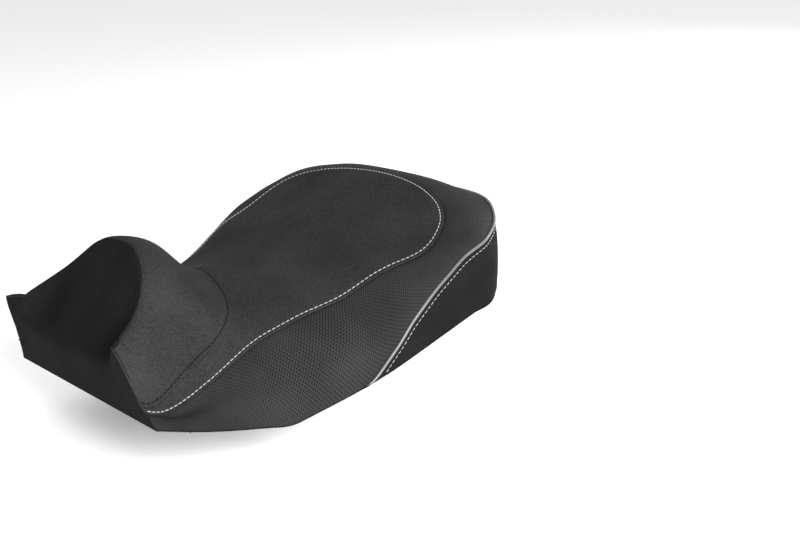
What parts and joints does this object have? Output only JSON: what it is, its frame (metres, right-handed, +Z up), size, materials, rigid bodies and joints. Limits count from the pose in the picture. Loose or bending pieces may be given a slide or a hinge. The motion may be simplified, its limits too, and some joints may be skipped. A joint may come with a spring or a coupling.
{
  "type": "motorcycle seat",
  "caption": "Rider's seat of an adventure-touring motorcycle with a raised nose, a dished centre, a sewn cover, a turning front height adjuster and a swinging rear bail.",
  "frame": {"origin": "centre of the frame's front cross tube with the seat clipped to it in its low position", "axes": "+X to the rear of the motorcycle, +Y to the rider's right along the cross tube, +Z up"},
  "size_m": [0.3966, 0.365, 0.1822],
  "materials": {
    "grained_vinyl": "matt fine-grained vinyl",
    "twill_vinyl": "embossed diagonal rib vinyl, satin",
    "smooth_vinyl": "smooth satin vinyl",
    "piping_grey": "satin",
    "thread_white": "bonded thread",
    "thread_black": "bonded thread",
    "foam": "open-cell moulded foam",
    "soft_foam": "soft foam",
    "pan_plastic": "moulded, fine texture",
    "adjuster_plastic": "glass-filled, matt",
    "zinc_steel": "zinc plated",
    "black_steel": "black powder coat, satin",
    "brass": "turned",
    "rubber": "matt"
  },
  "bodies": {
    "seat": {"seat_pan": "pan_plastic", "foam_core": "foam", "comfort_foam": "soft_foam", "cover_centre_panel": "grained_vinyl", "cover_nose_panel": "grained_vinyl", "cover_side_panel": "twill_vinyl", "cover_rear_band": "smooth_vinyl", "cover_hem": "smooth_vinyl", "piping": "piping_grey", "band_stitching": "thread_white", "long_seam_stitching": "thread_white", "nose_seam_stitching": "thread_black", "staples": "zinc_steel", "rail_buffers": "rubber", "threaded_inserts": "brass", "front_bracket": "black_steel", "adjuster_pin": "zinc_steel", "pin_clips": "zinc_steel", "bracket_screws": "zinc_steel", "bail_bearing_left": "adjuster_plastic", "bail_bearing_right": "adjuster_plastic", "bearing_screws": "zinc_steel", "striker_plate": "zinc_steel", "striker_loop": "zinc_steel", "striker_screws": "zinc_steel"},
    "front_adjuster": {"front_adjuster": "adjuster_plastic"},
    "rear_bail": {"rear_bail": "black_steel", "bail_sleeve": "rubber"}
  },
  "joints": [
    {"name": "front_adjuster_turn", "type": "hinge", "parent": "seat", "child": "front_adjuster", "pos_m": [0, 0, 0.018], "axis": [0, 1, 0], "range_deg": [0, 90]},
    {"name": "rear_bail_swing", "type": "hinge", "parent": "seat", "child": "rear_bail", "pos_m": [0.25, 0, 0.08], "axis": [0, -1, 0], "range_deg": [0, 27.04]}
  ]
}
